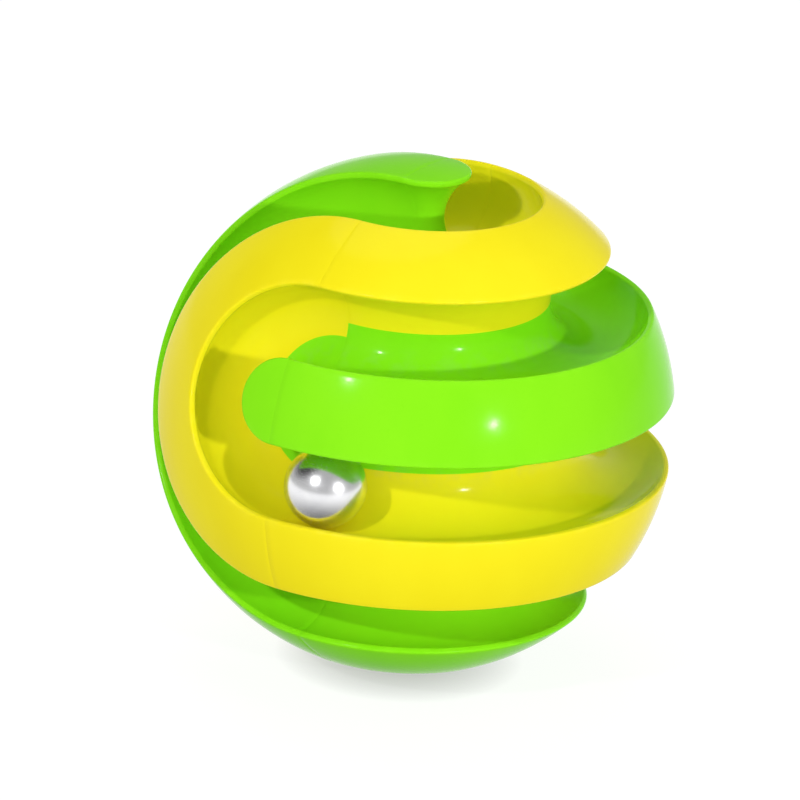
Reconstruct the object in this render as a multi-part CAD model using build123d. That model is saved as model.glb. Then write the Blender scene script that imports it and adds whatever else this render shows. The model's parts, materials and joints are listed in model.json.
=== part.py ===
from build123d import *
import os
from math import cos, radians, sin, sqrt

# Twist maze ball: two equal half balls meet on a flat seam and twist against each other.
# Each half is a stack of six layers along its own axis, and the layers leave five round
# grooves between them. A steel ball runs in the grooves and shows through slits that are
# narrower than the ball. Millimetres. The origin is the ball's centre. +Z is the right
# half's stacking axis, +X is the twist axis, and the seam is the plane x = 0.

# Driving dimensions
SPHERE_R = 32.0
BALL_R = 5.0
PITCH = 36.0            # degrees between neighbouring rims, and between grooves
SLIT_HALF = 8.5         # degrees, half of a slit's width seen from the centre
GROOVE_R = 6.08         # radius of a groove's round section
GROOVE_CENTRE_R = 27.04  # from the ball's centre to the middle of a groove
RIM_ROUND = 0.28        # rounding of the rim edges
SEAM_GAP = 0.06         # between the two half balls
LOCATING_GAP = 0.02     # around pins, pegs, bush and nut that are pressed or glued in
OVERRUN = 4.0           # how far a cutting shape runs past what it cuts

# The half balls' axes stand two pitches apart in the seam plane, so every rim of one half
# runs on into a rim of the other.
AXIS_ANGLE = 2 * PITCH
GROOVE_ANGLES = [PITCH / 2 + PITCH * i for i in range(5)]

# Layer joints, heights along the half's own axis. The cap's foot is let into the first ring
# by a little, and shows as far as the bottom of the groove around it.
OUTER_JOINT_Z = GROOVE_CENTRE_R * cos(radians(GROOVE_ANGLES[1]))
FOOT_DEPTH = 0.35
CAP_JOINT_Z = GROOVE_CENTRE_R * cos(radians(GROOVE_ANGLES[0])) - GROOVE_R - FOOT_DEPTH
CAP_FOOT_R = 8.5

# Twist pivot, along +X from the seam
SHAFT_R = 1.5
RUNNING_GAP = 0.05
BUSH_R = 2.6
BUSH_START = 1.2
BUSH_LENGTH = 5.0
FLANGE_R = 4.0
FLANGE_THICK = 0.8
SPRING_WELL_R = 4.2
SPRING_WELL_END = 16.5
BUSH_END_PLAY = 0.1     # of the bush's hole past the bush
WASHER_R = 3.7
WASHER_BORE_R = 1.7
WASHER_THICK = 0.5
SPRING_LENGTH = 4.6
SPRING_COIL_R = 2.7
SPRING_WIRE_R = 0.3
SPRING_TURNS = 4
HEAD_R = 3.0
HEAD_THICK = 2.2
HEAD_SLOT = 0.8         # width of the screwdriver slot
HEAD_SLOT_DEPTH = 1.0
SEAM_WASHER_R = 9.0
SEAM_WASHER_THICK = 0.8
NUT_FLATS = 5.5
NUT_THICK = 2.4
NUT_START = 8.0
SHAFT_TAIL = 2.0        # how far the shaft stands past the nut
SHAFT_END_PLAY = 0.5    # of the shaft's hole past the shaft

# Stack pins and cap pegs, which line the layers up along the half's axis
PIN_R = 1.2
PIN_X = 6.0
PIN_Y = 8.6
PIN_HALF_LENGTH = 18.4
PEG_R = 1.6
PEG_X = 3.0
PEG_LENGTH = 2.6

# Steel ball at rest, just inside the right half at the mouth of its middle groove
BALL_SEAM_GAP = 0.05
BALL_DROP = 0.75        # the ball lies low in the groove

TWO_FOLD_AXIS = Axis((0, 0, 0), (0, -sin(radians(PITCH)), cos(radians(PITCH))))
LAYER_NAMES = ["cap", "ring_1", "ring_2", "ring_3", "ring_4", "end_cap"]


def polar(radius, angle):
    """A point of the half's section: radius from the centre, angle down from its axis."""
    return (radius * sin(radians(angle)), radius * cos(radians(angle)))


def x_cylinder(radius, start, length):
    """A cylinder on the twist axis, from start towards +X."""
    return Pos(start, 0, 0) * Rot(0, 90, 0) * Cylinder(
        radius, length, align=(Align.CENTER, Align.CENTER, Align.MIN)
    )


def section():
    """Half disc with the five grooves and their slits taken out, and the rims rounded."""
    outline = Circle(SPHERE_R) & Pos(SPHERE_R, 0) * Rectangle(2 * SPHERE_R, 3 * SPHERE_R)
    for angle in GROOVE_ANGLES:
        outline -= Pos(*polar(GROOVE_CENTRE_R, angle)) * Circle(GROOVE_R)
        low, high = angle - SLIT_HALF, angle + SLIT_HALF
        outline -= make_face(
            Polyline(
                polar(GROOVE_CENTRE_R, low),
                polar(SPHERE_R + OVERRUN, low),
                polar(SPHERE_R + OVERRUN, high),
                polar(GROOVE_CENTRE_R, high),
                close=True,
            )
        )
    outer = [v for v in outline.vertices() if sqrt(v.X**2 + v.Y**2) > GROOVE_CENTRE_R]
    rim_corners = [v for v in outer if v.X > RIM_ROUND]
    return fillet(rim_corners, RIM_ROUND)


def zone(low, high, reach=2 * SPHERE_R):
    """The part of the section between two heights, out to reach from the axis."""
    return Pos(reach / 2, (low + high) / 2) * Rectangle(reach, high - low)


def layer_sections():
    """The section of each of the six layers, from the cap down to the end cap."""
    whole = section()
    top = 2 * SPHERE_R
    cap_zone = zone(CAP_JOINT_Z, top, CAP_FOOT_R)
    end_zone = zone(-top, -CAP_JOINT_Z, CAP_FOOT_R)
    return [
        whole & cap_zone,
        (whole & zone(OUTER_JOINT_Z, top)) - cap_zone,
        whole & zone(0, OUTER_JOINT_Z),
        whole & zone(-OUTER_JOINT_Z, 0),
        (whole & zone(-top, -OUTER_JOINT_Z)) - end_zone,
        whole & end_zone,
    ]


def pins(gap=0.0):
    """The two stack pins of one half, in that half's own frame."""
    return [
        Pos(PIN_X, side * PIN_Y, 0) * Cylinder(PIN_R + gap, 2 * (PIN_HALF_LENGTH + gap))
        for side in (-1, 1)
    ]


def pegs(gap=0.0):
    """The pegs under the cap and the end cap, in the half's own frame."""
    height = PEG_LENGTH + gap
    middle = CAP_JOINT_Z - height / 2
    return [Pos(PEG_X, 0, side * middle) * Cylinder(PEG_R + gap, height) for side in (1, -1)]


def half_ball(hub_cuts):
    """The six layers of one half ball, in its own frame: axis +Z, seam at x = 0, body at +X."""
    seam_cut = Pos(SEAM_GAP / 2, 0, 0) * Box(
        2 * SPHERE_R, 3 * SPHERE_R, 3 * SPHERE_R, align=(Align.MAX, Align.CENTER, Align.CENTER)
    )
    cap_peg, end_peg = pegs()
    holes = pins(LOCATING_GAP) + pegs(LOCATING_GAP)
    layers = {}
    for name, outline in zip(LAYER_NAMES, layer_sections()):
        face = Plane.XZ * outline
        solid = Rot(0, 0, -90) * revolve(face, Axis.Z, 180)
        solid -= seam_cut
        if name == "cap":
            solid += cap_peg
        elif name == "end_cap":
            solid += end_peg
        else:
            for cut in holes + hub_cuts:
                solid -= cut
        layers[name] = solid
    return layers


def bush_end():
    return BUSH_START + BUSH_LENGTH


def spring_start():
    return bush_end() + FLANGE_THICK + WASHER_THICK + RUNNING_GAP


def head_washer_start():
    return spring_start() + SPRING_LENGTH + RUNNING_GAP


def head_start():
    return head_washer_start() + WASHER_THICK


def right_hub_cuts():
    """Room in the right hub for the seam washer, the bush, the spring and the screw's head."""
    return [
        x_cylinder(SEAM_WASHER_R + LOCATING_GAP, 0, SEAM_GAP / 2 + SEAM_WASHER_THICK),
        x_cylinder(BUSH_R + LOCATING_GAP, 0, bush_end() + BUSH_END_PLAY),
        x_cylinder(SPRING_WELL_R, bush_end(), SPRING_WELL_END - bush_end()),
    ]


def left_hub_cuts():
    """Room in the left hub for the shaft and its captive nut, in the left half's own frame."""
    hexagon = RegularPolygon(NUT_FLATS / 2 + LOCATING_GAP, 6, major_radius=False)
    pocket = Pos(NUT_START - LOCATING_GAP, 0, 0) * Rot(0, 90, 0) * extrude(
        hexagon, NUT_THICK + 2 * LOCATING_GAP
    )
    shaft_end = NUT_START + NUT_THICK + SHAFT_TAIL + SHAFT_END_PLAY
    return [pocket, x_cylinder(SHAFT_R + RUNNING_GAP, 0, shaft_end)]


def washer(start):
    disc = x_cylinder(WASHER_R, start, WASHER_THICK)
    return disc - x_cylinder(WASHER_BORE_R, start - OVERRUN, WASHER_THICK + 2 * OVERRUN)


def pivot_bush():
    """Brass bush in the right hub, flanged at the spring end."""
    body = x_cylinder(BUSH_R, BUSH_START, BUSH_LENGTH)
    body += x_cylinder(FLANGE_R, bush_end(), FLANGE_THICK)
    return body - x_cylinder(SHAFT_R + RUNNING_GAP, 0, bush_end() + OVERRUN)


def pivot_spring():
    """Compression spring around the shaft, between the two washers."""
    height = SPRING_LENGTH - 2 * SPRING_WIRE_R - 2 * RUNNING_GAP
    path = Helix(height / SPRING_TURNS, height, SPRING_COIL_R)
    wire = sweep(Plane(path @ 0, z_dir=path % 0) * Circle(SPRING_WIRE_R), path, is_frenet=True)
    return Pos(spring_start() + SPRING_WIRE_R + RUNNING_GAP, 0, 0) * Rot(0, 90, 0) * wire


def pivot_screw():
    """Slotted screw that turns with the left half. Its head, in the right hub, presses on the
    spring and so holds the halves together."""
    tail = -(NUT_START + NUT_THICK + SHAFT_TAIL)
    screw = x_cylinder(SHAFT_R, tail, head_start() - tail)
    screw += x_cylinder(HEAD_R, head_start(), HEAD_THICK)
    slot = Pos(head_start() + HEAD_THICK, 0, 0) * Box(2 * HEAD_SLOT_DEPTH, 3 * HEAD_R, HEAD_SLOT)
    return screw - slot


def pivot_nut():
    """Hexagon nut held in the left hub."""
    hexagon = RegularPolygon(NUT_FLATS / 2, 6, major_radius=False) - Circle(SHAFT_R)
    return Pos(NUT_START, 0, 0) * Rot(0, 90, 0) * extrude(hexagon, NUT_THICK)


def seam_washer():
    """Slippery washer let into the right half's seam face, proud of it by half the seam gap,
    which the left half turns on."""
    disc = x_cylinder(SEAM_WASHER_R, 0, SEAM_WASHER_THICK)
    return disc - x_cylinder(BUSH_R, -OVERRUN, SEAM_WASHER_THICK + 2 * OVERRUN)


def steel_ball():
    """The running ball, on the middle line of the right half's middle groove."""
    from_seam = SEAM_GAP / 2 + BALL_SEAM_GAP + BALL_R
    along = -sqrt(GROOVE_CENTRE_R**2 - from_seam**2)
    return Pos(from_seam, along, -BALL_DROP) * Sphere(BALL_R)


def to_left(solid):
    """From a half's own frame to the left half's place."""
    return solid.rotate(TWO_FOLD_AXIS, 180)


def main():
    os.makedirs("parts", exist_ok=True)
    pieces = {f"right_{name}": solid for name, solid in half_ball(right_hub_cuts()).items()}
    for name, solid in half_ball(left_hub_cuts()).items():
        pieces[f"left_{name}"] = to_left(solid)
    for number, pin in enumerate(pins(), start=1):
        pieces[f"right_stack_pin_{number}"] = pin
        pieces[f"left_stack_pin_{number}"] = to_left(pin)
    pieces["pivot_bush"] = pivot_bush()
    pieces["spring_seat_washer"] = washer(bush_end() + FLANGE_THICK)
    pieces["pivot_spring"] = pivot_spring()
    pieces["screw_head_washer"] = washer(head_washer_start())
    pieces["pivot_screw"] = pivot_screw()
    pieces["pivot_nut"] = to_left(pivot_nut())
    pieces["seam_washer"] = seam_washer()
    pieces["steel_ball"] = steel_ball()
    for name, solid in pieces.items():
        export_step(solid, f"parts/{name}.step")


main()
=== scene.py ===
import json
from math import asin, atan2, cos, degrees, pi, radians, sin, sqrt

import bmesh
import bpy
from mathutils import Matrix, Vector


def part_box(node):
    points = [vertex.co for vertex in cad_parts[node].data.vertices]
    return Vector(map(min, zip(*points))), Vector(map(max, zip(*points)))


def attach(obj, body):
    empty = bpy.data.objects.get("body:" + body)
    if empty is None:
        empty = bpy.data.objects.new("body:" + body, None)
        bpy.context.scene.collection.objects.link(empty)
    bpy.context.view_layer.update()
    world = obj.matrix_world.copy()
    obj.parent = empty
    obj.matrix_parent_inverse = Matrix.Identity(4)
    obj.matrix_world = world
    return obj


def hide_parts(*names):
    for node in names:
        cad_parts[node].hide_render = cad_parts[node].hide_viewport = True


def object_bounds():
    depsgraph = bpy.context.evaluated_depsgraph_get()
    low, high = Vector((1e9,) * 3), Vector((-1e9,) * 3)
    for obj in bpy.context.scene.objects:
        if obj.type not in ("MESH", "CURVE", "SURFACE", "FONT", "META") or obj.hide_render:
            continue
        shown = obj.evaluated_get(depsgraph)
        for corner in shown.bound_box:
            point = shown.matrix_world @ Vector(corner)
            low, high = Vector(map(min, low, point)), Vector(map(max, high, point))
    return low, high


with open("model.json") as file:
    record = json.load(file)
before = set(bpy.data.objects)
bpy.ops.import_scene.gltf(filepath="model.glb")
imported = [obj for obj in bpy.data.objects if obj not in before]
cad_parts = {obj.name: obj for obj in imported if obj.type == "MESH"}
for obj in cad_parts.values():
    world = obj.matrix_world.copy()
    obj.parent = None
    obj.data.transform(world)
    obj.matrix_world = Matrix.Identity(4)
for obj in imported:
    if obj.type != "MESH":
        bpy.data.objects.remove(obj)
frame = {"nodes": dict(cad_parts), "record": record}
CAD_BOX = [list(corner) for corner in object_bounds()]

# The maze ball, sized from the frame. Each half ball is a body of revolution about its own
# axis: six layers with rounded rims, and five round grooves between them.
LOW, HIGH = (Vector(corner) for corner in CAD_BOX)
RADIUS = (HIGH.z - LOW.z) / 2
PITCH = 36                          # degrees between neighbouring rims
SLIT_HALF = 8.5                     # degrees, half of a slit's width
GROOVE_R = 0.19 * RADIUS
GROOVE_CENTRE_R = 0.845 * RADIUS
FOOT_DEPTH = 0.011 * RADIUS         # how far a cap's foot is let into the first ring
FOOT_R = 0.2656 * RADIUS
RIM_ROUND = 0.00875 * RADIUS
SEAM_FACE = 0.000001                # metres from the seam to each half's flat face
SEAM_EDGE = 0.000004                # metres, rounding of the edges at the seam
TO_LEFT = Matrix.Rotation(pi, 4, Vector((0, -sin(radians(PITCH)), cos(radians(PITCH)))))

# How finely the layers are meshed
TURN_STEPS = 112                    # around a half ball
GROOVE_STEPS = 44                   # along a groove's wall
RIM_STEPS = 14                      # across a rim
ROUND_STEPS = 4                     # around a rounded corner
EDGE_STEPS = 2                      # around an edge at the seam
ROUND_CLEAR = 1.05                  # setbacks: points nearer a rounded corner are dropped
LEAST_MITRE = 0.5                   # limits how far a sharp corner moves inwards
WELD = 1e-7                         # metres, points closer than this are one point
FLAT = 0.9999                       # least x of a normal on the seam's flat faces
SHARP = radians(35)                 # an edge that bends more than this is shaded as a crease
RIM_REACH = 0.0009                  # metres, how far wear reaches from a rim's edge
TRACK_REACH = 0.0022                # metres, half the width of the track the steel ball leaves

LAYERS = ["cap", "ring_1", "ring_2", "ring_3", "ring_4", "end_cap"]
END_CAP = len(LAYERS) - 1
HUB_RINGS = (2, 3)                  # the layers that the pivot runs through
LAST_GROOVE = END_CAP - 1           # groove i lies between layers i and i + 1
GROOVE_ANGLES = [PITCH / 2 + PITCH * i for i in range(LAST_GROOVE + 1)]

# Room in the hubs for the pivot and the pins, in metres
FIT_GAP = 0.00002
SHAFT_ROOM_R = 0.00155
SHAFT_ROOM_PAST = 0.0005            # of the shaft's hole past the shaft
BUSH_ROOM_R = 0.00262
BUSH_ROOM_PAST = 0.0001             # of the bush's hole into the spring's well
FLANGE_THICK = 0.0008               # of the bush
SPRING_WELL_R = 0.0042
SPRING_WELL_END = 0.0165            # from the seam
NUT_FLATS = 0.0055
NUT_SIDES = 6
PEG_X = 0.09375 * RADIUS            # the pegs under the caps
PEG_R = 0.05 * RADIUS
PEG_HOLE_END = 0.66 * RADIUS        # past the face of the first ring that a peg enters
CUT_STEPS = 40                      # around a hole
HUB_STEPS = 80                      # around a hole on the twist axis

# The photograph's view, in degrees: where the camera stands, and how far it is rolled
CAMERA_AZIMUTH = 32.5
CAMERA_ELEVATION = 20.2
CAMERA_ROLL = 3.5
CAMERA_DISTANCE = 30 * RADIUS
SENSOR = 0.036
MM = 1000                           # Blender takes the lens and the sensor in millimetres
CLIP_START = 0.01
CLIP_END = 20
VIEW_WIDTH = 1.5285 * 2 * RADIUS    # what the picture's width covers at the ball
VIEW_RIGHT = -0.0258 * 2 * RADIUS   # the picture's centre, from the ball's centre
VIEW_UP = 0.0245 * 2 * RADIUS

# Lights, in metres and watts. A way is a direction as the camera sees it: right, up and back
KEY_WAY = (0.56, -0.08, 0.83)
SECOND_WAY = (-0.45, 0.24, 0.85)
TOP_WAY = (-0.06, 0.97, 0.0)
PATCH_WAY = (-0.58, 0.8, 0.1)
LAMP_AWAY = 0.50
LAMP_SIZE = 0.018
REFLECTOR_AWAY = 0.52
REFLECTOR_SIZE = 0.26
REFLECTOR_WATTS = 0.06
KEY_WATTS = 0.88
SECOND_WATTS = 0.70
TOP_AWAY = 0.50
TOP_SIZE = 0.40
TOP_WATTS = 0.80

# The world, whose heights run from -1 straight down to 1 straight up
TENT_SPREAD = (0.0, 0.9)            # heights
TENT_GLOW = (0.56, 0.46)            # strengths there
PATCH_SPREAD = (0.75, 0.93)         # cosines, from the dark patch's edge to its full dark
PATCH_SHARE = (1.0, 0.12)           # what is left of the tent's strength there
HORIZON_SPREAD = (-0.05, 0.0)       # heights, from all the light from below to none
GROUND_SPREAD = (-0.95, -0.25)      # heights
GROUND_GLOW = (-0.32, 0.56)         # what the light from below adds to the tent's strength there

# The floor, whose glow dims under the ball: a painted shadow
FLOOR_HALF = 4.0
FLOOR_GREY = 0.18
# Painted shadow: the floor's glow is dimmer under the ball and full away from it
FLOOR_GLOW_WITH_PAINTED_SHADOW = (0.42, 0.89)           # under the ball, and away from it
FLOOR_PAINTED_SHADOW_AT = (1.0 * RADIUS, 1.11 * RADIUS)


# ---- Shader nodes ----


def new_material(name):
    material = bpy.data.materials.new(name)
    material.use_nodes = True
    return material, material.node_tree.nodes["Principled BSDF"]


def add(tree, kind, inputs=None, **settings):
    """A new node. An input's value is a number, a tuple or another node's output socket."""
    node = tree.nodes.new(kind)
    for name, value in settings.items():
        setattr(node, name, value)
    for socket, value in (inputs or {}).items():
        if isinstance(value, bpy.types.NodeSocket):
            tree.links.new(value, node.inputs[socket])
        else:
            node.inputs[socket].default_value = value
    return node


def maths(tree, operation, first, second):
    return add(tree, "ShaderNodeMath", {0: first, 1: second}, operation=operation).outputs[0]


def remap(tree, value, low, high, to_low, to_high):
    inputs = {"Value": value, "From Min": low, "From Max": high, "To Min": to_low, "To Max": to_high}
    return add(tree, "ShaderNodeMapRange", inputs).outputs["Result"]


def blend_colours(tree, share, first, second):
    node = add(tree, "ShaderNodeMix", data_type="RGBA")
    for socket, value in ((node.inputs[0], share), (node.inputs[6], first), (node.inputs[7], second)):
        if isinstance(value, bpy.types.NodeSocket):
            tree.links.new(value, socket)
        else:
            socket.default_value = (*value, 1)
    return node.outputs[2]


def noise(tree, size, detail=2.0, stretch=(1, 1, 1), turn=(0, 0, 0)):
    """Noise with features of about that size in metres, stretched along its turned axes."""
    place = add(tree, "ShaderNodeTexCoord").outputs["Object"]
    scale = tuple(1 / s for s in stretch)
    place = add(tree, "ShaderNodeMapping", {"Vector": place, "Rotation": turn, "Scale": scale})
    inputs = {"Vector": place.outputs["Vector"], "Scale": 1 / size, "Detail": detail}
    return add(tree, "ShaderNodeTexNoise", inputs).outputs["Fac"]


def hairlines(tree, width, length, turn, share):
    """Sparse fine scratches. share is how much of the surface they cover."""
    lines = noise(tree, width, 1.0, (length / width, 1, 1), turn)
    faint, full = SCRATCH_EDGES
    return remap(tree, lines, faint - share, full - share, 0.0, 1.0)


def from_centre(tree):
    """How far a point is from the ball's centre, in metres."""
    place = add(tree, "ShaderNodeTexCoord").outputs["Object"]
    return add(tree, "ShaderNodeVectorMath", {0: place}, operation="LENGTH").outputs["Value"]


def attribute(tree, name):
    return add(tree, "ShaderNodeAttribute", attribute_name=name).outputs["Fac"]


def bump(tree, height, strength, depth, below=None):
    inputs = {"Height": height, "Strength": strength, "Distance": depth}
    if below is not None:
        inputs["Normal"] = below
    return add(tree, "ShaderNodeBump", inputs).outputs["Normal"]


# ---- Camera, light and floor ----


def camera_axes():
    """The camera's right, up and backward directions in the row frame."""
    turn = Matrix.Rotation(radians(CAMERA_AZIMUTH), 3, "Z")
    tilt = Matrix.Rotation(radians(-CAMERA_ELEVATION), 3, "X")
    roll = Matrix.Rotation(radians(-CAMERA_ROLL), 3, "Y")
    axes = turn @ tilt @ roll
    return axes @ Vector((1, 0, 0)), axes @ Vector((0, 0, 1)), axes @ Vector((0, -1, 0))


RIGHT, UP, BACK = camera_axes()


def seen(right, up, back):
    """A direction in the row frame, from the way it lies as the camera stands."""
    return (RIGHT * right + UP * up + BACK * back).normalized()


def add_camera():
    data = bpy.data.cameras.new("camera")
    data.sensor_width = SENSOR * MM
    data.lens = SENSOR * CAMERA_DISTANCE / VIEW_WIDTH * MM
    data.clip_start = CLIP_START
    data.clip_end = CLIP_END
    camera = bpy.data.objects.new("camera", data)
    bpy.context.scene.collection.objects.link(camera)
    turn = Matrix((RIGHT, UP, BACK)).transposed().to_4x4()
    place = BACK * CAMERA_DISTANCE + RIGHT * VIEW_RIGHT + UP * VIEW_UP
    camera.matrix_world = Matrix.Translation(place) @ turn
    bpy.context.scene.camera = camera


def add_light(name, away, distance, size, watts):
    """A round light of that diameter, standing that way from the ball and facing it."""
    data = bpy.data.lights.new(name, "AREA")
    data.shape = "DISK"
    data.size = size
    data.energy = watts
    light = bpy.data.objects.new(name, data)
    bpy.context.scene.collection.objects.link(light)
    turn = away.to_track_quat("Z", "Y").to_matrix().to_4x4()
    light.matrix_world = Matrix.Translation(away * distance) @ turn


def add_lamp(name, away, watts):
    """A small bright lamp in front of a wide dim reflector."""
    add_light(name, away, LAMP_AWAY, LAMP_SIZE, watts)
    add_light(f"{name}_reflector", away, REFLECTOR_AWAY, REFLECTOR_SIZE, REFLECTOR_WATTS)


def add_world():
    """An even white tent that darkens upwards, with a dark patch above the camera's left.

    Below the horizon it takes the floor's place as the light on the ball.
    """
    world = bpy.data.worlds.new("studio")
    world.use_nodes = True
    tree = world.node_tree
    background = tree.nodes["Background"]
    background.inputs["Color"].default_value = (1, 1, 1, 1)
    direction = add(tree, "ShaderNodeTexCoord").outputs["Generated"]
    height = add(tree, "ShaderNodeSeparateXYZ", {"Vector": direction}).outputs["Z"]
    tent = remap(tree, height, *TENT_SPREAD, *TENT_GLOW)
    towards = add(tree, "ShaderNodeVectorMath", {0: direction, 1: seen(*PATCH_WAY)},
                  operation="DOT_PRODUCT").outputs["Value"]
    patch = remap(tree, towards, *PATCH_SPREAD, *PATCH_SHARE)
    under = remap(tree, height, *HORIZON_SPREAD, 1.0, 0.0)
    below = remap(tree, height, *GROUND_SPREAD, *GROUND_GLOW)
    ground = maths(tree, "MULTIPLY", under, below)
    strength = maths(tree, "ADD", maths(tree, "MULTIPLY", tent, patch), ground)
    tree.links.new(strength, background.inputs["Strength"])
    bpy.context.scene.world = world
    bpy.context.scene.view_settings.view_transform = "Standard"


def add_floor():
    """White paper that glows, so cast shadows on it stay faint. The glow is dimmer under the ball,
    which is a painted shadow. It throws no light on the ball.
    """
    half, z = FLOOR_HALF, LOW.z
    corners = [(-half, -half, z), (half, -half, z), (half, half, z), (-half, half, z)]
    mesh = bpy.data.meshes.new("floor")
    mesh.from_pydata(corners, [], [(0, 1, 2, 3)])
    floor = bpy.data.objects.new("floor", mesh)
    bpy.context.scene.collection.objects.link(floor)
    material, shader = new_material("floor_paper")
    shader.inputs["Base Color"].default_value = (FLOOR_GREY, FLOOR_GREY, FLOOR_GREY, 1)
    shader.inputs["Roughness"].default_value = 1.0
    shader.inputs["Specular IOR Level"].default_value = 0.0
    shader.inputs["Emission Color"].default_value = (1, 1, 1, 1)
    tree = material.node_tree
    # Painted shadow: the glow dims towards the ball
    glow_with_painted_shadow = remap(tree, from_centre(tree), *FLOOR_PAINTED_SHADOW_AT, *FLOOR_GLOW_WITH_PAINTED_SHADOW)
    tree.links.new(glow_with_painted_shadow, shader.inputs["Emission Strength"])
    mesh.materials.append(material)
    floor.visible_diffuse = False
    floor.visible_glossy = False
    floor.visible_shadow = False


# ---- Materials. Sizes are in metres ----

PLASTIC_IOR = 1.46
PLASTIC_SPECULAR = 0.055
PLASTIC_ROUGH = (0.115, 0.15)
OUTSIDE = (0.980 * RADIUS, 0.992 * RADIUS)      # where scratches fade in towards the sphere
STEEL_ROUGH = (0.20, 0.24)
WASHER_ROUGH = (0.38, 0.55)
TOOL_RINGS = 900.0                              # scale of the turned metals' rings
SCRATCH_EDGES = (0.72, 0.78)                    # of the noise, where scratches begin and are full


def tinted(colour, factor):
    return tuple(min(c * f, 1.0) for c, f in zip(colour, factor))


def plastic(name, colour, deep, pale):
    """Glossy moulded plastic: faint flow mottle, fine orange peel, scuffed rims and a track
    that the steel ball has polished. deep and pale are the colour's factors."""
    material, shader = new_material(name)
    tree = material.node_tree
    flow = noise(tree, size=0.011, detail=3.0, stretch=(1, 1, 2.5))
    flow = remap(tree, flow, 0.35, 0.65, 0.0, 1.0)
    tone = blend_colours(tree, flow, tinted(colour, deep), colour)
    speck = remap(tree, noise(tree, size=0.0006, detail=2.0), 0.60, 0.75, 0.0, 0.35)
    tone = blend_colours(tree, speck, tone, tinted(colour, deep))
    patchy = remap(tree, noise(tree, size=0.0018, detail=4.0), 0.45, 0.62, 0.0, 1.0)
    worn = maths(tree, "MULTIPLY", maths(tree, "MULTIPLY", attribute(tree, "rim"), patchy), 0.30)
    tone = blend_colours(tree, worn, tone, tinted(colour, pale))
    track = maths(tree, "MULTIPLY", attribute(tree, "track"), patchy)
    tone = blend_colours(tree, maths(tree, "MULTIPLY", track, 0.06), tone, (0.35, 0.36, 0.34))
    tree.links.new(tone, shader.inputs["Base Color"])

    outside = remap(tree, from_centre(tree), *OUTSIDE, 0.0, 1.0)
    scratches = maths(
        tree, "MAXIMUM",
        hairlines(tree, width=0.00012, length=0.009, turn=(0.4, 0.9, 0.3), share=0.03),
        hairlines(tree, width=0.00010, length=0.006, turn=(1.1, -0.3, 0.8), share=0.02),
    )
    scratches = maths(tree, "MULTIPLY", scratches, outside)
    haze = remap(tree, noise(tree, size=0.005, detail=4.0), 0.35, 0.70, *PLASTIC_ROUGH)
    gloss = maths(tree, "ADD", haze, maths(tree, "MULTIPLY", scratches, 0.14))
    gloss = maths(tree, "ADD", gloss, maths(tree, "MULTIPLY", worn, 0.35))
    gloss = maths(tree, "SUBTRACT", gloss, maths(tree, "MULTIPLY", track, 0.07))
    tree.links.new(gloss, shader.inputs["Roughness"])

    peel = bump(tree, noise(tree, size=0.0016, detail=2.0), strength=0.16, depth=0.00004)
    grain = noise(tree, size=0.00025, detail=2.0)
    grain = bump(tree, grain, strength=0.12, depth=0.00001, below=peel)
    smooth = maths(tree, "SUBTRACT", 1.0, scratches)
    lines = bump(tree, smooth, strength=0.25, depth=0.000006, below=grain)
    tree.links.new(lines, shader.inputs["Normal"])
    shader.inputs["IOR"].default_value = PLASTIC_IOR
    shader.inputs["Specular IOR Level"].default_value = PLASTIC_SPECULAR
    return material


def ball_steel(name):
    """Polished bearing steel with a rolled-in haze and hairline scratches."""
    material, shader = new_material(name)
    tree = material.node_tree
    cloud = remap(tree, noise(tree, size=0.0025, detail=4.0), 0.35, 0.65, 0.0, 1.0)
    tone = blend_colours(tree, cloud, (0.80, 0.80, 0.82), (0.86, 0.86, 0.87))
    scratches = maths(
        tree, "MAXIMUM",
        hairlines(tree, width=0.00005, length=0.003, turn=(0.2, 0.5, 1.2), share=0.05),
        hairlines(tree, width=0.00004, length=0.002, turn=(1.3, 0.2, -0.4), share=0.04),
    )
    tone = blend_colours(tree, maths(tree, "MULTIPLY", scratches, 0.3), tone, (0.55, 0.55, 0.57))
    tree.links.new(tone, shader.inputs["Base Color"])
    haze = remap(tree, noise(tree, size=0.0012, detail=3.0), 0.35, 0.70, *STEEL_ROUGH)
    gloss = maths(tree, "ADD", haze, maths(tree, "MULTIPLY", scratches, 0.12))
    tree.links.new(gloss, shader.inputs["Roughness"])
    smooth = maths(tree, "SUBTRACT", 1.0, scratches)
    lines = bump(tree, smooth, strength=0.15, depth=0.000003)
    tree.links.new(lines, shader.inputs["Normal"])
    shader.inputs["Metallic"].default_value = 1.0
    return material


def turned_metal(name, colour, stain, roughness):
    """Small turned or drawn metal parts: tool rings around the twist axis, and staining."""
    material, shader = new_material(name)
    tree = material.node_tree
    place = add(tree, "ShaderNodeTexCoord").outputs["Object"]
    inputs = {"Vector": place, "Scale": TOOL_RINGS, "Distortion": 1.5, "Detail": 2.0,
              "Detail Scale": 2.0}
    rings = add(tree, "ShaderNodeTexWave", inputs, wave_type="RINGS", rings_direction="X")
    cloud = remap(tree, noise(tree, size=0.0015, detail=4.0), 0.40, 0.65, 0.0, 1.0)
    tone = blend_colours(tree, cloud, colour, stain)
    tree.links.new(tone, shader.inputs["Base Color"])
    haze = noise(tree, size=0.0006, detail=3.0)
    haze = remap(tree, haze, 0.30, 0.70, roughness - 0.05, roughness + 0.08)
    tree.links.new(haze, shader.inputs["Roughness"])
    marks = bump(tree, rings.outputs["Fac"], strength=0.2, depth=0.000008)
    grain = noise(tree, size=0.0002, detail=2.0)
    grain = bump(tree, grain, strength=0.15, depth=0.000005, below=marks)
    tree.links.new(grain, shader.inputs["Normal"])
    shader.inputs["Metallic"].default_value = 1.0
    return material


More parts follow.
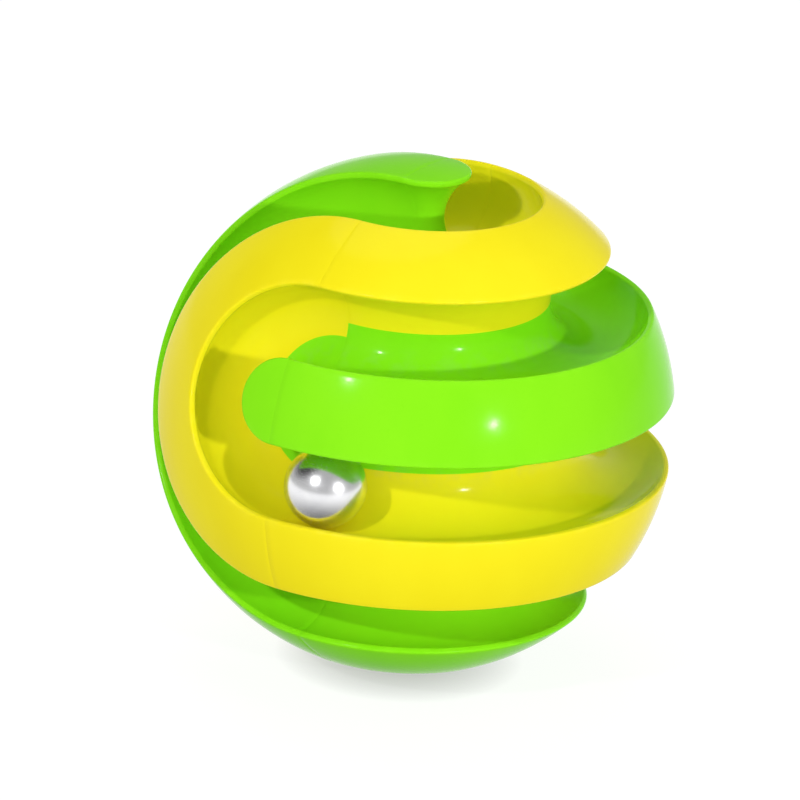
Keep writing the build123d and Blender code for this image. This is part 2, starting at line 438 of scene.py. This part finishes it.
def slip_plastic(name):
    """Unpigmented washer plastic, rubbed to a dull sheen."""
    material, shader = new_material(name)
    tree = material.node_tree
    cloud = remap(tree, noise(tree, size=0.003, detail=4.0), 0.35, 0.65, 0.0, 1.0)
    tone = blend_colours(tree, cloud, (0.80, 0.79, 0.74), (0.88, 0.88, 0.85))
    tree.links.new(tone, shader.inputs["Base Color"])
    rubbed = remap(tree, noise(tree, size=0.0008, detail=3.0), 0.35, 0.65, *WASHER_ROUGH)
    tree.links.new(rubbed, shader.inputs["Roughness"])
    grain = bump(tree, noise(tree, size=0.0003, detail=3.0), strength=0.2, depth=0.00001)
    tree.links.new(grain, shader.inputs["Normal"])
    return material


LOOKS = {
    "green_plastic": plastic(
        "green_plastic_look", colour=(0.245, 0.785, 0.010),
        deep=(0.90, 0.965, 0.80), pale=(1.15, 1.05, 2.0),
    ),
    "yellow_plastic": plastic(
        "yellow_plastic_look", colour=(0.90, 0.785, 0.013),
        deep=(0.97, 0.955, 0.80), pale=(1.03, 1.04, 3.0),
    ),
    "polished_steel": ball_steel("polished_steel_look"),
    "zinc_steel": turned_metal(
        "zinc_steel_look", colour=(0.62, 0.63, 0.66), stain=(0.66, 0.62, 0.52), roughness=0.34
    ),
    "bush_brass": turned_metal(
        "bush_brass_look", colour=(0.80, 0.60, 0.27), stain=(0.62, 0.43, 0.20), roughness=0.28
    ),
    "slip_washer": slip_plastic("slip_washer_look"),
}
SLOTS = {s["node"]: s["material_slot"] for s in frame["record"]["subparts"]}


def paint_cad_nodes():
    for name, node in frame["nodes"].items():
        node.data.materials.clear()
        node.data.materials.append(LOOKS[SLOTS[name]])


# ---- The layers' sections, in a plane through the axis: (distance from axis, height) ----


def polar(radius, angle):
    return (radius * sin(radians(angle)), radius * cos(radians(angle)))


def spread(start, end, steps):
    return [start + (end - start) * i / steps for i in range(steps + 1)]


def groove_joint(groove):
    """The flat joint at the root of a groove: its points from the axis outwards, and the
    angle around the groove's section at which its walls start."""
    centre = polar(GROOVE_CENTRE_R, GROOVE_ANGLES[groove])
    if 0 < groove < LAST_GROOVE:
        return [(0, centre[1])], 180
    up = 1 if groove == LAST_GROOVE else -1
    across = FOOT_R - centre[0]
    height = centre[1] + up * (GROOVE_R + FOOT_DEPTH)
    root = degrees(atan2(up * sqrt(GROOVE_R**2 - across**2), across)) % 360
    return [(0, height), (FOOT_R, height)], root


def lip_radius():
    """From the ball's centre to where a groove's round wall meets its slit."""
    half = radians(SLIT_HALF)
    return GROOVE_CENTRE_R * cos(half) + sqrt(GROOVE_R**2 - (GROOVE_CENTRE_R * sin(half)) ** 2)


def groove_wall(groove, side):
    """Points from the joint along one wall of a groove and out to the sphere: side -1 is the
    wall of the layer before the groove, side +1 of the layer after it."""
    angle = GROOVE_ANGLES[groove]
    centre = polar(GROOVE_CENTRE_R, angle)
    joint, root = groove_joint(groove)
    opening = degrees(asin(lip_radius() * sin(radians(SLIT_HALF)) / GROOVE_R))
    outward = 90 - angle
    end = outward + opening if side < 0 else outward - opening + 360
    arc = [
        (centre[0] + GROOVE_R * cos(radians(a)), centre[1] + GROOVE_R * sin(radians(a)))
        for a in spread(root, end, GROOVE_STEPS)
    ]
    return joint + arc + [polar(RADIUS, angle + side * SLIT_HALF)]


def rounded(points, corner, radius):
    """The outline with the corner at that index rounded."""
    p, before, after = (Vector(points[i]) for i in (corner, corner - 1, corner + 1))
    first, second = (before - p).normalized(), (after - p).normalized()
    half = first.angle(second) / 2
    back = radius / (sin(half) / cos(half))
    centre = p + (first + second).normalized() * (radius / sin(half))
    start, end = p + first * back - centre, p + second * back - centre
    turn = start.angle(end)
    arc = []
    for share in spread(0, 1, ROUND_STEPS):
        point = centre + (start * sin((1 - share) * turn) + end * sin(share * turn)) / sin(turn)
        arc.append((point.x, point.y))
    head = [q for q in points[:corner] if (Vector(q) - p).length > back * ROUND_CLEAR]
    tail = [q for q in points[corner + 1:] if (Vector(q) - p).length > back * ROUND_CLEAR]
    return head + arc + tail


def nearest(points, place):
    return min(range(len(points)), key=lambda i: (Vector(points[i]) - Vector(place)).length)


def layer_outline(index):
    """Outline of a layer's section, from the axis at its top to the axis at its bottom."""
    top = groove_wall(index - 1, 1) if index > 0 else [(0, RADIUS)]
    bottom = groove_wall(index, -1)[::-1] if index < END_CAP else [(0, -RADIUS)]
    start = GROOVE_ANGLES[index - 1] + SLIT_HALF if index > 0 else 0
    end = GROOVE_ANGLES[index] - SLIT_HALF if index < END_CAP else 180
    rim = [polar(RADIUS, a) for a in spread(start, end, RIM_STEPS)]
    outline = top[:-1] + rim + bottom[1:]
    for corner in rim_corners(index):
        outline = rounded(outline, nearest(outline, corner), RIM_ROUND)
    outline[0] = (0, outline[0][1])
    outline[-1] = (0, outline[-1][1])
    return outline


def rim_corners(index):
    """The corners of a layer's rim, before they are rounded: at the sphere and at the lip."""
    sides = [(GROOVE_ANGLES[index - 1] + SLIT_HALF) if index > 0 else None,
             (GROOVE_ANGLES[index] - SLIT_HALF) if index < END_CAP else None]
    return [polar(r, a) for a in sides if a is not None for r in (lip_radius(), RADIUS)]


def inset(outline, depth):
    """The outline moved inwards by depth; its ends stay on the axis."""
    normals = []
    for a, b in zip(outline, outline[1:]):
        along = (Vector(b) - Vector(a)).normalized()
        normals.append(Vector((along.y, -along.x)))
    moved = [(0, outline[0][1] + normals[0].y * depth)]
    for before, after, point in zip(normals, normals[1:], outline[1:]):
        both = (before + after).normalized()
        reach = depth / max(both.dot(after), LEAST_MITRE)
        moved.append((point[0] + both.x * reach, point[1] + both.y * reach))
    return moved + [(0, outline[-1][1] + normals[-1].y * depth)]


# ---- Layers as meshes, in their half's own frame: axis +Z, seam at x = 0, body at +X ----


def turned_layer(outline):
    """The section swept half a turn about Z at +X, with a rounded edge around the flat seam
    face. Its polygons are quads, and one flat polygon closes it at the seam."""
    rings = []
    for step in range(EDGE_STEPS, -1, -1):
        bend = radians(90) * step / EDGE_STEPS
        x = SEAM_FACE + SEAM_EDGE * (1 - sin(bend))
        rings.append((x, None, inset(outline, SEAM_EDGE * (1 - cos(bend))) if step else outline))
    for i in range(1, TURN_STEPS // 2 + 1):
        rings.append((SEAM_FACE + SEAM_EDGE, pi * i / TURN_STEPS, outline))
    mesh = bmesh.new()
    columns = {-1: [], 1: []}
    for side in (-1, 1):
        for x_least, turn, points in rings:
            column = []
            for r, z in points:
                x = x_least if turn is None else max(r * sin(turn), x_least)
                y = side * sqrt(max(r * r - x * x, 0))
                column.append(mesh.verts.new((x, y, z)))
            columns[side].append(column)
    order = columns[-1] + columns[1][::-1]
    for first, second in zip(order, order[1:]):
        for i in range(len(first) - 1):
            mesh.faces.new((first[i], first[i + 1], second[i + 1], second[i]))
    mesh.faces.new(order[0][::-1] + order[-1])
    bmesh.ops.remove_doubles(mesh, verts=mesh.verts, dist=WELD)
    bmesh.ops.recalc_face_normals(mesh, faces=mesh.faces)
    return mesh


def new_object(name, mesh):
    data = bpy.data.meshes.new(name)
    mesh.to_mesh(data)
    mesh.free()
    piece = bpy.data.objects.new(name, data)
    bpy.context.scene.collection.objects.link(piece)
    return piece


def add_prism(mesh, ring, along):
    """A closed prism in the mesh: the ring of points, carried along."""
    near = [mesh.verts.new(point) for point in ring]
    far = [mesh.verts.new(Vector(point) + along) for point in ring]
    mesh.faces.new(near)
    mesh.faces.new(far[::-1])
    for i in range(len(ring)):
        mesh.faces.new((near[i], far[i], far[i - 1], near[i - 1]))


def circle(across, radius, steps, start=0.0):
    """Points around a centre, in its plane."""
    turns = [start + 2 * pi * i / steps for i in range(steps)]
    return [(across[0] + radius * cos(t), across[1] + radius * sin(t)) for t in turns]


def z_prism(mesh, ring, low, high):
    add_prism(mesh, [(x, y, low) for x, y in ring], Vector((0, 0, high - low)))


def x_prism(mesh, ring, low, high):
    add_prism(mesh, [(low, y, z) for y, z in ring], Vector((high - low, 0, 0)))


def boolean(piece, other, operation):
    """Cuts the other mesh out of the piece, or joins it on."""
    bmesh.ops.recalc_face_normals(other, faces=other.faces)
    tool = new_object("tool", other)
    modifier = piece.modifiers.new("boolean", "BOOLEAN")
    modifier.operation = operation
    modifier.solver = "EXACT"
    modifier.object = tool
    bpy.context.view_layer.update()
    result = piece.evaluated_get(bpy.context.evaluated_depsgraph_get())
    shape = bpy.data.meshes.new_from_object(result)
    piece.modifiers.clear()
    old, piece.data = piece.data, shape
    shape.name = piece.name
    bpy.data.meshes.remove(old)
    bpy.data.meshes.remove(tool.data)


def peg_tip():
    """Height of a peg's tip: the lowest point of the right cap's node."""
    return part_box("right_cap")[0].z


def cut_pins(piece):
    """Holes through the four rings for the two stack pins and the pegs of the caps."""
    holes = bmesh.new()
    for pin in ("right_stack_pin_1", "right_stack_pin_2"):
        low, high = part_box(pin)
        middle = ((low.x + high.x) / 2, (low.y + high.y) / 2)
        ring = circle(middle, (high.x - low.x) / 2 + FIT_GAP, CUT_STEPS)
        z_prism(holes, ring, low.z - FIT_GAP, high.z + FIT_GAP)
    peg = circle((PEG_X, 0), PEG_R + FIT_GAP, CUT_STEPS)
    for side in (-1, 1):
        ends = sorted((side * (peg_tip() - FIT_GAP), side * PEG_HOLE_END))
        z_prism(holes, peg, *ends)
    boolean(piece, holes, "DIFFERENCE")


def cut_right_hub(piece):
    """Stepped hole on the twist axis for the seam washer, bush, spring and screw head."""
    washer_low, washer_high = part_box("seam_washer")
    flange_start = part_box("pivot_bush")[1].x - FLANGE_THICK
    steps = [
        ((washer_high.y - washer_low.y) / 2 + FIT_GAP, -SEAM_FACE, washer_high.x + SEAM_FACE),
        (BUSH_ROOM_R, 0, flange_start + BUSH_ROOM_PAST),
        (SPRING_WELL_R, flange_start, SPRING_WELL_END),
    ]
    for radius, low, high in steps:
        hole = bmesh.new()
        x_prism(hole, circle((0, 0), radius, HUB_STEPS), low, high)
        boolean(piece, hole, "DIFFERENCE")


def cut_left_hub(piece):
    """Hole on the twist axis for the shaft, with the nut's six-sided pocket."""
    shaft_end = -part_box("pivot_screw")[0].x + SHAFT_ROOM_PAST
    nut_low, nut_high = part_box("pivot_nut")
    shaft = bmesh.new()
    x_prism(shaft, circle((0, 0), SHAFT_ROOM_R, CUT_STEPS), -SEAM_FACE, shaft_end)
    boolean(piece, shaft, "DIFFERENCE")
    pocket = bmesh.new()
    corner_r = (NUT_FLATS / 2 + FIT_GAP) / cos(pi / NUT_SIDES)
    ring = circle((0, 0), corner_r, NUT_SIDES, radians(90))
    x_prism(pocket, ring, -nut_high.x - FIT_GAP, -nut_low.x + FIT_GAP)
    boolean(piece, pocket, "DIFFERENCE")


def add_peg(piece, side):
    """The peg under a cap: side 1 for the cap, -1 for the end cap."""
    heights = [vertex.co.z for vertex in piece.data.vertices]
    inside = (min(heights) if side > 0 else max(heights)) + side * PEG_R
    peg = bmesh.new()
    z_prism(peg, circle((PEG_X, 0), PEG_R, CUT_STEPS), *sorted((side * peg_tip(), inside)))
    boolean(piece, peg, "UNION")


def shade(data):
    """Smooth shading, with creases at sharp edges and around every flat face at the seam."""
    mesh = bmesh.new()
    mesh.from_mesh(data)
    for face in mesh.faces:
        face.smooth = True
    for edge in mesh.edges:
        flat = [abs(face.normal.x) > FLAT for face in edge.link_faces]
        edge.smooth = len(flat) == 2 and edge.calc_face_angle() < SHARP and flat[0] == flat[1]
    mesh.to_mesh(data)
    mesh.free()


def mark_wear(data, index):
    """Two numbers at each point, which the plastics read: rim, how near it is to a rim's
    edge, and track, how near it is to the floor of a groove."""
    edges = [Vector(corner) for corner in rim_corners(index)]
    floors = [Vector(polar(GROOVE_CENTRE_R - GROOVE_R, a)) for a in GROOVE_ANGLES]
    for name, places, reach in (("rim", edges, RIM_REACH), ("track", floors, TRACK_REACH)):
        marks = data.attributes.new(name, "FLOAT", "POINT")
        for vertex, mark in zip(data.vertices, marks.data):
            here = Vector((sqrt(vertex.co.x**2 + vertex.co.y**2), vertex.co.z))
            mark.value = max(0.0, 1 - min((here - place).length for place in places) / reach)


def add_layer(side, index):
    node = f"{side}_{LAYERS[index]}"
    piece = new_object(f"{node}_moulding", turned_layer(layer_outline(index)))
    if index in (0, END_CAP):
        add_peg(piece, 1 if index == 0 else -1)
    else:
        cut_pins(piece)
    if index in HUB_RINGS:
        cut_hub = cut_right_hub if side == "right" else cut_left_hub
        cut_hub(piece)
    mark_wear(piece.data, index)
    shade(piece.data)
    if side == "left":
        piece.data.transform(TO_LEFT)
    piece.data.materials.clear()
    piece.data.materials.append(LOOKS[SLOTS[node]])
    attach(piece, f"{side}_half")
    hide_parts(node)


add_camera()
add_world()
add_lamp("key", seen(*KEY_WAY), KEY_WATTS)
add_lamp("second", seen(*SECOND_WAY), SECOND_WATTS)
add_light("top", seen(*TOP_WAY), TOP_AWAY, TOP_SIZE, TOP_WATTS)
add_floor()
paint_cad_nodes()
for half in ("right", "left"):
    for layer in range(len(LAYERS)):
        add_layer(half, layer)
